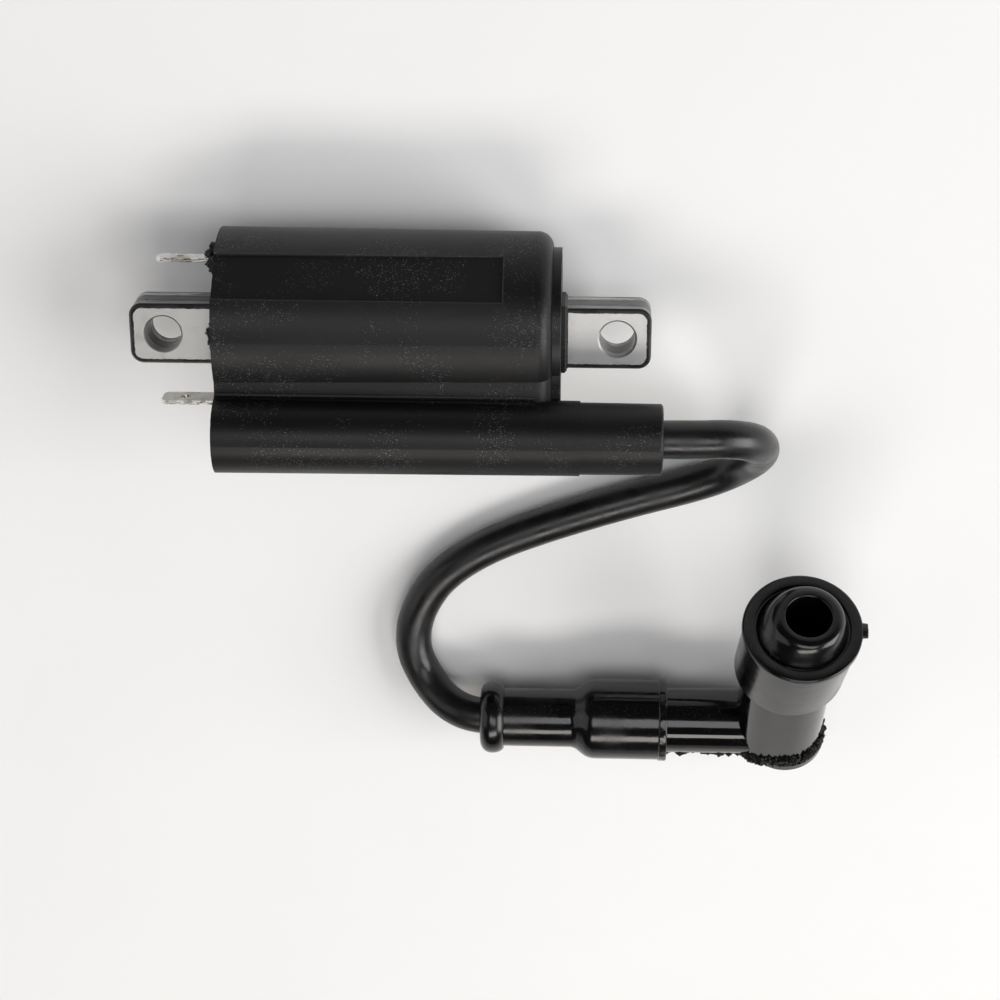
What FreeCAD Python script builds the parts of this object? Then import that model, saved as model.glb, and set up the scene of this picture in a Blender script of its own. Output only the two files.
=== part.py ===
"""Ignition coil for a small engine, with its high-tension lead and elbow plug cap.

Frame: origin midway between the two mounting holes, on the bare front face of the
core.  +X runs along the core to the closed end, +Z points out of the bare faces.
The coil lies on its back, on the plane z = floor_z.  All sizes are in millimetres.
"""
import FreeCAD
import Part
import math
import os

# ---------------------------------------------------------------- laminated core
hole_spacing = 82.0
hole_r = 3.25
hole_chamfer = 0.3
ear_end = 6.1               # from a hole's centre to the end of the core
plate_t = 2.6
plate_names = ("core_plate_front", "core_plate_middle", "core_plate_rear")
core_w = 11.2
core_corner_r = 2.3
plate_edge = 0.35           # rolled edge of the front plate
ground_depth = 0.05         # taken off the front face of both ears to bare the steel
ground_gap = 0.15           # the ground faces stop this far from the case and the collar

# ---------------------------------------------------------------- case
open_x = -30.5              # open end, where the resin is poured
closed_x = 29.4             # flat of the closed end
case_r_open = 16.35
case_r_closed = 16.0
case_wall = 2.1
case_axis_y = 2.2           # the round body sits above the core's centre
case_edge_r = 2.8
end_wall = 2.0
land_h = 1.5                # raised round land on the closed end
land_r = 13.2
recess_end_x = 20.6         # flat label recess, open to the left
recess_angle = 44.0         # from +Z towards +Y
recess_half_angle = 16.0
recess_depth = 0.3
recess_edge_r = 0.15
resin_sink = 0.6            # resin face below the rim of the open end

ledge_z = 10.45             # flat between the round body and the barrel
land_ledge_z = 7.5

# ---------------------------------------------------------------- high-tension barrel
barrel_y = -15.35
barrel_z = 10.2
barrel_r_open = 7.0
barrel_r_closed = 6.7
barrel_step_x = 34.55
barrel_bore_r = 4.6         # hollow beside the windings, filled with resin
barrel_bore_end_x = 16.0
nozzle_len = 14.7
nozzle_r_root = 6.45
nozzle_r_tip = 6.35
nozzle_edge_r = 0.6
socket_floor_x = 21.0       # how deep the lead goes into the nozzle

# ---------------------------------------------------------------- windings
bobbin_gap = 0.1            # core in the primary bobbin, each side
coil_half_len = 25.0
primary_tube_r = 7.5
primary_wire_r = 8.9
insulation_t = 0.3
secondary_tube_t = 0.6
secondary_wire_t = 1.4
rib_stand = 0.4             # ribs stand this far above the secondary wire
rib_t = 0.8
section_count = 6
flange_t = 1.0
end_plate_t = 2.0

# ---------------------------------------------------------------- terminals
tab_t = 0.8
tab_chamfer = 0.7
upper_tab_w = 2.8
upper_tab_tip_x = -42.1
upper_tab_y = 13.5
upper_tab_z = -4.0
upper_hole_r = 0.6
lower_tab_w = 4.8
lower_tab_tip_x = -41.4
lower_tab_y = -11.4
lower_tab_z = 1.2
lower_hole_r = 0.9
tab_hole_in = 4.2           # hole centre from the tip
lug_margin = 0.9            # bobbin plastic round each tab
lug_gap = 0.1               # between the lugs and the case
grommet_r = 2.5
grommet_stand = 2.7
grommet_hidden = 1.6

# ---------------------------------------------------------------- collar round the core
collar_t = 0.65
collar_stand = 1.1
collar_chamfer = 0.4

# ---------------------------------------------------------------- high-tension contact
contact_head_r = 3.0
contact_head_t = 1.5
contact_shank_r = 1.0
spike_r = 0.6
spike_len = 7.0
spike_gap = 0.05
strap_t = 0.5
strap_w = 1.3

# ---------------------------------------------------------------- lead
lead_r = 3.5
lead_bond_gap = 0.05
floor_z = -20.1
lead_z = floor_z + lead_r

# ---------------------------------------------------------------- plug cap
cap_axis_y = -80.8
cap_axis_z = -10.1
cap_run_gap = 0.08          # cap pieces turn round the lead with this clearance
boot_x = 15.8               # outer face of the lead boot
boot_bead_t = 4.7
boot_bead_r = 7.1
boot_neck_r = 5.65
boot_neck_end_x = 34.1
boot_cone_end_x = 37.0
boot_body_r = 7.8
boot_shoulder = 0.9         # rounding where the cone meets the body
boot_end_x = 52.1
boot_lip_t = 1.6
boot_lip = 0.2
boot_mouth_flare = 0.9
boot_mouth_depth = 2.4
boot_neck_fillet = 0.6
boot_lip_edge = 0.4
cap_tube_r = 6.3
cap_tube_x = 36.2
lead_stop_x = 44.0          # cut end of the lead in the cap
screw_head_t = 2.0
screw_head_r = 2.6
screw_shank_r = 0.9
screw_shank_len = 7.0
spring_len = 4.0
spring_r = 1.9
spring_wire_r = 0.3
spring_turns = 3.5
resistor_len = 12.0
resistor_r = 2.3
resistor_cap_t = 2.0
resistor_cap_wall = 0.3
resistor_gap = 0.2
plug_x = 75.3               # axis of the plug tube
plug_angle = 38.0           # tilt of the plug tube above the floor
plug_tube_r = 7.15
plug_tube_bore_r = 4.9
plug_tube_end = 36.0        # from the lead's axis, along the plug tube
plug_tube_floor = -3.6
shoulder_reach = 9.6        # the plug tube is squared off towards the lead, up to the boot
shoulder_corner_r = 5.5
base_r = 8.0
base_bottom = -6.0
base_t = 2.6
base_edge_r = 1.1
terminal_r = 3.9
terminal_bore_r = 3.2
terminal_bore_len = 8.0
terminal_end = 16.0
clip_wire_r = 0.35
clip_ring_r = 3.35          # the wire's centre lies this far from the axis
skirt_start = 24.0
skirt_r = 10.25
rim_r = 10.95
rim_t = 1.6
rim_end = 39.5
rim_edge_r = 0.45
groove_r = 8.75
groove_depth = 0.5
skirt_edge_r = 0.4
skirt_lean = 1.15           # the skirt's foot is this far off the axis, over the shoulder
rim_step = 0.45             # how far the rim stands out from the skirt's top
rim_bevel = 0.35
dome_r = 8.3
dome_top_r = 6.1
dome_top_edge = 0.9
dome_h = 4.4
dome_foot = 1.0             # rounding at the foot of the collar's slope
dome_shoulder = 0.7
mouth_r = 4.15
mouth_edge_r = 0.3
mouth_funnel = 1.2
nub_r = 1.3
nub_stand = 1.1

# ---------------------------------------------------------------- places worked out
core_t = plate_t * len(plate_names)
core_end_x = hole_spacing / 2 + ear_end
core_z = -core_t / 2
land_x = closed_x + land_h
collar_end_x = land_x + collar_stand
nozzle_x = barrel_step_x + nozzle_len
resin_x = open_x + resin_sink
insulation_r = primary_wire_r + insulation_t
secondary_tube_r = insulation_r + secondary_tube_t
secondary_wire_r = secondary_tube_r + secondary_wire_t
rib_r = secondary_wire_r + rib_stand
plate_out_x = -coil_half_len - flange_t - end_plate_t
plate_in_x = -coil_half_len - flange_t
screw_head_x = lead_stop_x
spring_x = screw_head_x + screw_head_t
resistor_x = spring_x + spring_len
resistor_end_x = resistor_x + resistor_len
resistor_bore_r = resistor_r + resistor_cap_wall + resistor_gap

# The lead's free stretch, from the nozzle's face to the bead of the lead boot.
lead_end_x = boot_x + 3.7
LEAD_ROUTE = [
    (nozzle_x, barrel_y, barrel_z),
    (54.6, -15.35, 10.2),
    (61.8, -15.3, 9.5),
    (66.8, -17.7, 4.9),
    (68.0, -23.1, -5.0),
    (65.0, -29.1, -13.8),
    (57.9, -33.4, lead_z),
    (44.0, -37.3, lead_z),
    (29.5, -42.1, lead_z),
    (16.7, -47.2, lead_z),
    (7.6, -53.6, lead_z),
    (2.9, -61.5, lead_z),
    (2.0, -69.1, lead_z),
    (4.7, -75.4, -16.3),
    (9.0, -79.4, -12.8),
    (14.8, cap_axis_y, cap_axis_z),
    (lead_end_x, cap_axis_y, cap_axis_z),
]

V = FreeCAD.Vector
ALONG_X = V(1, 0, 0)
parts = {}


# ---------------------------------------------------------------- shape helpers
def rod(radius, x0, x1, y, z):
    """Cylinder along X."""
    return Part.makeCylinder(radius, x1 - x0, V(x0, y, z), ALONG_X)


def taper(r0, r1, x0, x1, y, z):
    """Cone along X, r0 at x0 and r1 at x1."""
    return Part.makeCone(r0, r1, x1 - x0, V(x0, y, z), ALONG_X)


def block(x0, x1, y0, y1, z0, z1):
    return Part.makeBox(x1 - x0, y1 - y0, z1 - z0, V(x0, y0, z0))


def outline_face(outline, place):
    """Face in a closed outline.  Each step is (a, b), or (a, b, a_mid, b_mid) for an arc."""
    edges = []
    last = outline[0][:2]
    for step in outline[1:] + [outline[0][:2]]:
        start = place(*last)
        end = place(*step[:2])
        if len(step) == 4:
            edges.append(Part.Arc(start, place(*step[2:]), end).toShape())
        elif start.distanceToPoint(end) > 1e-6:
            edges.append(Part.LineSegment(start, end).toShape())
        last = step[:2]
    return Part.Face(Part.Wire(edges))


def prism_x(outline_yz, x0, x1):
    """Extrusion along X of a (y, z) outline."""
    return outline_face(outline_yz, lambda y, z: V(x0, y, z)).extrude(V(x1 - x0, 0, 0))


def turned(outline_rz):
    """Solid of revolution about Z of an (r, z) outline."""
    face = outline_face(outline_rz, lambda r, z: V(r, 0, z))
    return face.revolve(V(0, 0, 0), V(0, 0, 1), 360)


def core_block(x0, x1, grow):
    """Box with the hidden core's section, grown on all four sides."""
    half = core_w / 2 + grow
    return block(x0, x1, -half, half, -core_t - grow, ground_depth + grow)


def round_arc(r, z, radius, from_deg, to_deg):
    """Outline step along a circular arc about (r, z), ending at to_deg."""
    mid = math.radians((from_deg + to_deg) / 2)
    end = math.radians(to_deg)
    return (r + radius * math.cos(end), z + radius * math.sin(end),
            r + radius * math.cos(mid), z + radius * math.sin(mid))


def on_lead_axis(shape, x):
    """Stands a shape turned about Z on the cap's lead axis, its z = 0 at x."""
    placed = shape.copy()
    placed.rotate(V(0, 0, 0), V(0, 1, 0), 90)
    placed.translate(V(x, cap_axis_y, cap_axis_z))
    return placed


def on_plug_axis(shape):
    """Tilts a shape made along Z to the plug tube's axis."""
    placed = shape.copy()
    placed.rotate(V(0, 0, 0), ALONG_X, plug_angle - 90)
    placed.translate(V(plug_x, cap_axis_y, cap_axis_z))
    return placed


def edges_at_x(shape, x, kind):
    """Edges of one curve kind that lie in the plane at x."""
    found = []
    for edge in shape.Edges:
        box = edge.BoundBox
        flat = abs(box.XMin - x) < 1e-4 and abs(box.XMax - x) < 1e-4
        if flat and isinstance(edge.Curve, kind):
            found.append(edge)
    return found


# ---------------------------------------------------------------- laminated core
def core_plate(z_top):
    width_y = core_w / 2
    plate = block(-core_end_x, core_end_x, -width_y, width_y, z_top - plate_t, z_top)
    upright = [e for e in plate.Edges if e.BoundBox.ZLength > plate_t / 2]
    plate = plate.makeFillet(core_corner_r, upright)
    for side in (-1, 1):
        hole = Part.makeCylinder(hole_r, plate_t, V(side * hole_spacing / 2, 0, z_top - plate_t))
        plate = plate.cut(hole)
    return plate


def finish_front_plate(plate):
    """Rolls the front outline and both holes, and leaves the middle unground."""
    rim = []
    holes = []
    for edge in plate.Edges:
        if abs(edge.BoundBox.ZMin) > 1e-6 or edge.BoundBox.ZLength > 1e-6:
            continue
        is_hole = isinstance(edge.Curve, Part.Circle) and abs(edge.Curve.Radius - hole_r) < 1e-6
        (holes if is_hole else rim).append(edge)
    plate = plate.makeChamfer(plate_edge, rim)
    for side in (-1, 1):
        centre = V(side * hole_spacing / 2, 0, -hole_chamfer)
        plate = plate.cut(Part.makeCone(hole_r, hole_r + hole_chamfer, hole_chamfer, centre))
    middle_x0 = open_x - ground_gap
    middle_x1 = collar_end_x + ground_gap
    middle = block(middle_x0, middle_x1, -core_w / 2, core_w / 2, -plate_t, ground_depth)
    return plate.fuse(middle).removeSplitter()


for index, name in enumerate(plate_names):
    parts[name] = core_plate(-index * plate_t)
parts[plate_names[0]] = finish_front_plate(parts[plate_names[0]])


# ---------------------------------------------------------------- case
WEB_OUTLINE = [(-4.6, ledge_z), (-7.75, ledge_z), (-8.35, 11.05, -8.17, 10.63), (-9.3, 12.3),
               (-15.35, 10.2), (-21.2, 7.3), (-13.4, -6.7), (2.2, -3.9)]
LAND_WEB_OUTLINE = [(-4.6, land_ledge_z), (-9.3, land_ledge_z), (-15.35, 10.2), (-21.2, 7.3),
                    (-13.4, -6.7), (2.2, -3.9)]
WEB_HOLLOW = [(-6.0, -4.0), (-9.0, 5.8), (-11.2, 9.0), (-16.0, 12.0), (-19.0, 7.6), (-12.0, -5.4),
              (-8.0, -8.0)]


def case_cavity(x0):
    """Space for the windings and the contact, open at the left."""
    inner_r = case_r_closed - case_wall
    cavity = rod(inner_r, x0, closed_x - end_wall, case_axis_y, core_z)
    cavity = cavity.fuse(prism_x(WEB_HOLLOW, x0, barrel_bore_end_x))
    return cavity.fuse(rod(barrel_bore_r, x0, barrel_bore_end_x, barrel_y, barrel_z))


def label_recess():
    """Cutter for the flat across the front of the round body."""
    half_width = case_r_open * math.sin(math.radians(recess_half_angle))
    floor = case_r_closed * math.cos(math.radians(recess_half_angle)) - recess_depth
    cutter = block(open_x - 1, recess_end_x, -half_width, half_width, floor, case_r_open + 1)
    cutter.rotate(V(0, 0, 0), ALONG_X, -recess_angle)
    cutter.translate(V(0, case_axis_y, core_z))
    return cutter


def recess_rim(body):
    """Edges where the label recess breaks through the round surface."""
    rim = []
    for edge in body.Edges:
        middle = edge.valueAt((edge.FirstParameter + edge.LastParameter) / 2)
        reach = math.hypot(middle.y - case_axis_y, middle.z - core_z)
        angle = math.degrees(math.atan2(middle.y - case_axis_y, middle.z - core_z))
        beside_recess = abs(angle - recess_angle) < recess_half_angle + 1.5
        inside_ends = open_x + 1 < middle.x < recess_end_x + 1
        if beside_recess and inside_ends and reach > case_r_closed:
            rim.append(edge)
    return rim


def make_web():
    """Solid between the round body and the barrel, its front edge rounded at the closed end."""
    web = prism_x(WEB_OUTLINE, open_x, closed_x)
    round_x = closed_x - case_edge_r
    round_z = ledge_z - case_edge_r
    corner = block(round_x, closed_x, barrel_y, 0, round_z, ledge_z + case_edge_r)
    along_y = V(0, 1, 0)
    rounding = Part.makeCylinder(case_edge_r, -barrel_y, V(round_x, barrel_y, round_z), along_y)
    corner = corner.cut(rounding)
    return web.cut(corner).fuse(prism_x(LAND_WEB_OUTLINE, closed_x - 1, land_x))


def make_case():
    body = taper(case_r_open, case_r_closed, open_x, closed_x, case_axis_y, core_z)
    body = body.makeFillet(case_edge_r, edges_at_x(body, closed_x, Part.Circle))
    body = body.cut(label_recess())
    body = body.makeFillet(recess_edge_r, recess_rim(body))
    land = rod(land_r, closed_x - 1, land_x, case_axis_y, core_z)
    barrel = taper(barrel_r_open, barrel_r_closed, open_x, barrel_step_x, barrel_y, barrel_z)
    nozzle = taper(nozzle_r_root, nozzle_r_tip, barrel_step_x, nozzle_x, barrel_y, barrel_z)
    nozzle = nozzle.makeFillet(nozzle_edge_r, edges_at_x(nozzle, nozzle_x, Part.Circle))
    shell = body.fuse([land, make_web(), barrel, nozzle]).removeSplitter()
    shell = shell.cut(case_cavity(open_x - 1))
    shell = shell.cut(rod(lead_r + lead_bond_gap, socket_floor_x, nozzle_x + 1, barrel_y, barrel_z))
    shell = shell.cut(rod(contact_shank_r, barrel_bore_end_x - 1, socket_floor_x + 1, barrel_y, barrel_z))
    return shell.cut(core_block(closed_x - end_wall - 1, land_x + 1, collar_t))


parts["case"] = make_case()


# ---------------------------------------------------------------- collar round the core
def make_collar():
    outer = core_block(closed_x - end_wall, collar_end_x, collar_t)
    outer = outer.makeChamfer(collar_chamfer, edges_at_x(outer, collar_end_x, Part.Line))
    return outer.cut(core_block(closed_x - end_wall - 1, collar_end_x + 1, 0))


parts["core_collar"] = make_collar()


# ---------------------------------------------------------------- bobbins and windings
def sleeve(r_in, r_out, x0, x1):
    """Tube round the core's axis."""
    return rod(r_out, x0, x1, 0, core_z).cut(rod(r_in, x0 - 1, x1 + 1, 0, core_z))


def tab_block(x0, x1, width, y_top, z_mid, grow):
    """Flat strip with a tab's section, grown on all sides."""
    half = width / 2 + grow
    return block(x0, x1, y_top - tab_t - grow, y_top + grow, z_mid - half, z_mid + half)


def make_primary_bobbin():
    bobbin = rod(primary_tube_r, plate_out_x, coil_half_len + flange_t, 0, core_z)
    bobbin = bobbin.fuse(rod(insulation_r, plate_in_x, -coil_half_len, 0, core_z))
    bobbin = bobbin.fuse(rod(insulation_r, coil_half_len, coil_half_len + flange_t, 0, core_z))
    bobbin = bobbin.fuse(rod(rib_r, plate_out_x, plate_in_x, 0, core_z))
    upper_half = upper_tab_w / 2 + lug_margin
    lower_half = lower_tab_w / 2 + lug_margin
    upper_lug = block(plate_out_x, plate_in_x, 0, upper_tab_y + lug_margin,
                      upper_tab_z - upper_half, upper_tab_z + upper_half)
    lower_lug = block(plate_out_x, plate_in_x, lower_tab_y - tab_t - lug_margin, 0,
                      lower_tab_z - lower_half, lower_tab_z + lower_half)
    room = rod(case_r_closed - case_wall - lug_gap, plate_out_x - 1, plate_in_x + 1, case_axis_y, core_z)
    bobbin = bobbin.fuse([upper_lug.common(room), lower_lug.common(room)]).removeSplitter()
    bobbin = bobbin.cut(core_block(plate_out_x - 1, coil_half_len + flange_t + 1, bobbin_gap))
    x0 = plate_out_x - 1
    x1 = plate_in_x + 1
    bobbin = bobbin.cut(tab_block(x0, x1, upper_tab_w, upper_tab_y, upper_tab_z, 0))
    return bobbin.cut(tab_block(x0, x1, lower_tab_w, lower_tab_y, lower_tab_z, 0))


def section_edges():
    """Left and right x of each winding section of the secondary bobbin."""
    width = (2 * coil_half_len - (section_count + 1) * rib_t) / section_count
    starts = [-coil_half_len + rib_t + i * (width + rib_t) for i in range(section_count)]
    return [(start, start + width) for start in starts]


def make_secondary_bobbin():
    bobbin = sleeve(insulation_r, rib_r, -coil_half_len, coil_half_len)
    for x0, x1 in section_edges():
        bobbin = bobbin.cut(sleeve(secondary_tube_r, rib_r + 1, x0, x1))
    return bobbin


parts["primary_bobbin"] = make_primary_bobbin()
parts["primary_winding"] = sleeve(primary_tube_r, primary_wire_r, -coil_half_len, coil_half_len)
parts["layer_insulation"] = sleeve(primary_wire_r, insulation_r, -coil_half_len, coil_half_len)
parts["secondary_bobbin"] = make_secondary_bobbin()
parts["secondary_winding"] = Part.makeCompound(
    [sleeve(secondary_tube_r, secondary_wire_r, x0, x1) for x0, x1 in section_edges()])


# ---------------------------------------------------------------- terminals
def make_tab(tip_x, width, y_top, z_mid, tab_hole_r):
    """Flat blade with chamfered tip corners and a latch hole."""
    z0 = z_mid - width / 2
    z1 = z_mid + width / 2
    outline = [(plate_in_x, z0), (tip_x + tab_chamfer, z0), (tip_x, z0 + tab_chamfer),
               (tip_x, z1 - tab_chamfer), (tip_x + tab_chamfer, z1), (plate_in_x, z1)]
    corners = [V(x, y_top - tab_t, z) for x, z in outline]
    blade = Part.Face(Part.makePolygon(corners + [corners[0]])).extrude(V(0, tab_t, 0))
    hole_foot = V(tip_x + tab_hole_in, y_top - tab_t - 1, z_mid)
    hole = Part.makeCylinder(tab_hole_r, tab_t + 2, hole_foot, V(0, 1, 0))
    return blade.cut(hole)


parts["terminal_tab_primary"] = make_tab(upper_tab_tip_x, upper_tab_w, upper_tab_y, upper_tab_z,
                                         upper_hole_r)
parts["terminal_tab_earth"] = make_tab(lower_tab_tip_x, lower_tab_w, lower_tab_y, lower_tab_z, lower_hole_r)

grommet_y = upper_tab_y - tab_t / 2
grommet = rod(grommet_r, open_x - grommet_stand, resin_x + grommet_hidden, grommet_y, upper_tab_z)
grommet = grommet.makeFillet(0.7, edges_at_x(grommet, open_x - grommet_stand, Part.Circle))
parts["terminal_grommet"] = grommet.cut(
    tab_block(open_x - grommet_stand - 1, resin_x + grommet_hidden + 1,
              upper_tab_w, upper_tab_y, upper_tab_z, 0))


# ---------------------------------------------------------------- high-tension contact
def make_ht_contact():
    head_x = barrel_bore_end_x - contact_head_t
    contact = rod(contact_head_r, head_x, barrel_bore_end_x, barrel_y, barrel_z)
    contact = contact.fuse(rod(contact_shank_r, barrel_bore_end_x, socket_floor_x, barrel_y, barrel_z))
    straight = spike_len - 2 * spike_r
    contact = contact.fuse(rod(spike_r, socket_floor_x, socket_floor_x + straight, barrel_y, barrel_z))
    point = taper(spike_r, spike_r / 4, socket_floor_x + straight, socket_floor_x + spike_len,
                  barrel_y, barrel_z)
    return contact.fuse(point).removeSplitter()


def make_ht_strap():
    """Flat strip from the contact's head to the outside of the secondary wire."""
    x1 = barrel_bore_end_x - contact_head_t
    reach = math.hypot(barrel_y, barrel_z - core_z)
    strap = block(x1 - strap_t, x1, 0, reach, -strap_w / 2, strap_w / 2)
    angle = math.degrees(math.atan2(barrel_z - core_z, barrel_y))
    strap.rotate(V(0, 0, 0), ALONG_X, angle)
    strap.translate(V(0, 0, core_z))
    strap = strap.fuse(rod(strap_w / 2, x1 - strap_t, x1, barrel_y, barrel_z)).removeSplitter()
    return strap.cut(rod(secondary_wire_r, x1 - strap_t - 1, x1 + 1, 0, core_z))


parts["ht_contact"] = make_ht_contact()
parts["ht_strap"] = make_ht_strap()


# ---------------------------------------------------------------- potting resin
def make_resin():
    pour = case_cavity(resin_x)
    bobbin_hole = core_block(plate_out_x, coil_half_len + flange_t, bobbin_gap)
    filled_bobbin = parts["primary_bobbin"].fuse(bobbin_hole)
    tools = [filled_bobbin, sleeve(primary_tube_r - 1, insulation_r, -coil_half_len, coil_half_len),
             parts["secondary_bobbin"]] + parts["secondary_winding"].Solids
    tools += [core_block(resin_x - 1, closed_x, 0), parts["core_collar"]]
    tools += [parts[n] for n in ("terminal_tab_primary", "terminal_tab_earth", "terminal_grommet",
                                 "ht_contact", "ht_strap")]
    for tool in tools:
        pour = pour.cut(tool)
    return max(pour.Solids, key=lambda solid: solid.Volume)


parts["potting_resin"] = make_resin()


# ---------------------------------------------------------------- high-tension lead
def rounded_route(points):
    """Straight runs joined by tangent arcs, each as large as its two runs allow."""
    places = [V(*p) for p in points]
    edges = []
    radii = []
    start = places[0]
    for before, corner, after in zip(places, places[1:], places[2:]):
        into = corner.sub(before)
        out = after.sub(corner)
        turn = into.getAngle(out)
        reach = 0.45 * min(into.Length, out.Length)
        radius = reach / math.tan(turn / 2)
        into.normalize()
        out.normalize()
        arc_in = corner - into * reach
        arc_out = corner + out * reach
        bisector = out - into
        bisector.normalize()
        centre_gap = radius / math.cos(turn / 2) - radius
        edges.append(Part.LineSegment(start, arc_in).toShape())
        edges.append(Part.Arc(arc_in, corner + bisector * centre_gap, arc_out).toShape())
        radii.append(radius)
        start = arc_out
    edges.append(Part.LineSegment(start, places[-1]).toShape())
    return Part.Wire(edges), radii


def tube_along(path, radius):
    first = path.Edges[0]
    start = first.valueAt(first.FirstParameter)
    section = Part.Wire(Part.makeCircle(radius, start, first.tangentAt(first.FirstParameter)))
    return path.makePipeShell([section], True, True)


lead_path, lead_radii = rounded_route(LEAD_ROUTE)
parts["ht_lead"] = tube_along(lead_path, lead_r)
parts["lead_coil_end"] = rod(lead_r, socket_floor_x, nozzle_x, barrel_y, barrel_z).cut(
    rod(spike_r + spike_gap, socket_floor_x - 1, socket_floor_x + spike_len, barrel_y, barrel_z))
parts["lead_cap_end"] = rod(lead_r, lead_end_x, lead_stop_x, cap_axis_y, cap_axis_z).cut(
    rod(screw_shank_r + cap_run_gap, lead_stop_x - screw_shank_len - cap_run_gap, lead_stop_x + 1,
        cap_axis_y, cap_axis_z))


# ---------------------------------------------------------------- lead side of the plug cap
def make_lead_boot():
    """Rubber boot turned about the lead: bead, neck, cone and body."""
    bore = lead_r + cap_run_gap
    bead_mid = boot_bead_t / 2
    bead_centre_r = boot_bead_r - bead_mid
    neck_end = boot_neck_end_x - boot_x
    cone_end = boot_cone_end_x - boot_x
    end = boot_end_x - boot_x
    step = cap_tube_x - boot_x
    outline = [
        (bore + boot_mouth_flare, 0.0),
        (bead_centre_r, 0.0),
        (bead_centre_r, boot_bead_t, boot_bead_r, bead_mid),
        (boot_neck_r - boot_neck_fillet, boot_bead_t),
        round_arc(boot_neck_r - boot_neck_fillet, boot_bead_t + boot_neck_fillet, boot_neck_fillet, -90, 0),
        (boot_neck_r, neck_end),
        (boot_body_r - boot_shoulder / 2, cone_end - boot_shoulder / 2),
        (boot_body_r, cone_end + boot_shoulder,
         boot_body_r - boot_shoulder / 12, cone_end + boot_shoulder / 8),
        (boot_body_r, end - boot_lip_t),
        (boot_body_r + boot_lip, end - boot_lip_t + boot_lip),
        (boot_body_r + boot_lip, end - boot_lip_edge),
        (boot_body_r + boot_lip - boot_lip_edge, end),
        (cap_tube_r, end),
        (cap_tube_r, step),
        (bore, step),
        (bore, boot_mouth_depth),
    ]
    return on_lead_axis(turned(outline), boot_x)


def make_shoulder():
    """Squared side of the plug tube where the lead's tube joins it."""
    corner_x = shoulder_corner_r - shoulder_reach
    corner_y = plug_tube_r - shoulder_corner_r
    outline = [(0, plug_tube_r), (corner_x, plug_tube_r),
               round_arc(corner_x, corner_y, shoulder_corner_r, 90, 180),
               (-shoulder_reach, -corner_y),
               round_arc(corner_x, -corner_y, shoulder_corner_r, 180, 270), (0, -plug_tube_r)]
    foot = base_bottom + base_t
    return outline_face(outline, lambda x, y: V(x, y, foot)).extrude(V(0, 0, skirt_start - foot))


def make_cap_body():
    """Hard moulded elbow with a bore for the lead and one for the spark plug."""
    tube = rod(cap_tube_r, cap_tube_x, plug_x, cap_axis_y, cap_axis_z)
    stem = Part.makeCylinder(plug_tube_r, plug_tube_end - base_bottom, V(0, 0, base_bottom))
    stem = stem.fuse(Part.makeCylinder(base_r, base_t, V(0, 0, base_bottom))).removeSplitter()
    bottom = [e for e in stem.Edges if abs(e.BoundBox.ZMax - base_bottom) < 1e-4]
    stem = on_plug_axis(stem.makeFillet(base_edge_r, bottom).fuse(make_shoulder()))
    elbow = tube.fuse(stem).removeSplitter()
    well_depth = plug_tube_end - plug_tube_floor
    well = Part.makeCylinder(plug_tube_bore_r, well_depth + 1, V(0, 0, plug_tube_floor))
    elbow = elbow.cut(on_plug_axis(well))
    elbow = elbow.cut(rod(lead_r + cap_run_gap, cap_tube_x - 1, lead_stop_x, cap_axis_y, cap_axis_z))
    elbow = elbow.cut(rod(screw_head_r, lead_stop_x - 1, spring_x, cap_axis_y, cap_axis_z))
    return elbow.cut(rod(resistor_bore_r, spring_x, plug_x, cap_axis_y, cap_axis_z))


def make_lead_screw():
    """Screw that the end of the lead is pushed onto, with a slotted head."""
    head = rod(screw_head_r, screw_head_x, screw_head_x + screw_head_t, cap_axis_y, cap_axis_z)
    straight = screw_shank_len - 2 * screw_shank_r
    shank = rod(screw_shank_r, lead_stop_x - straight, screw_head_x, cap_axis_y, cap_axis_z)
    point = taper(screw_shank_r / 4, screw_shank_r, lead_stop_x - screw_shank_len, lead_stop_x - straight,
                  cap_axis_y, cap_axis_z)
    return head.fuse([shank, point]).removeSplitter()


def make_spring():
    """Compression spring between the screw's head and the resistor."""
    rise = spring_len - 2 * spring_wire_r
    helix = Part.makeHelix(rise / spring_turns, rise, spring_r)
    wire = Part.Wire(Part.makeCircle(spring_wire_r, V(spring_r, 0, 0), V(0, 1, 0)))
    coil = Part.Wire(helix.Edges).makePipeShell([wire], True, True)
    return on_lead_axis(coil, spring_x + spring_wire_r)


def resistor_end_cap(x0, x1, x_closed):
    """Metal cup over one end of the resistor."""
    cup = rod(resistor_r + resistor_cap_wall, x0, x1, cap_axis_y, cap_axis_z)
    depth_0 = x0 + resistor_cap_wall if x_closed == x0 else x0 - 1
    depth_1 = x1 - resistor_cap_wall if x_closed == x1 else x1 + 1
    return cup.cut(rod(resistor_r, depth_0, depth_1, cap_axis_y, cap_axis_z))


def make_plug_terminal():
    """Brass sleeve for the spark plug's nut, with a stem back to the resistor."""
    sleeve_solid = Part.makeCylinder(terminal_r, terminal_end - plug_tube_floor, V(0, 0, plug_tube_floor))
    bore_floor = V(0, 0, terminal_end - terminal_bore_len)
    bore = Part.makeCylinder(terminal_bore_r, terminal_bore_len + 1, bore_floor)
    groove_z = terminal_end - terminal_bore_len / 2
    groove = Part.makeTorus(clip_ring_r, clip_wire_r, V(0, 0, groove_z))
    stem = rod(resistor_r * 0.7, resistor_end_x, plug_x, cap_axis_y, cap_axis_z)
    return on_plug_axis(sleeve_solid).fuse(stem).removeSplitter().cut(on_plug_axis(bore.fuse(groove)))


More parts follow.
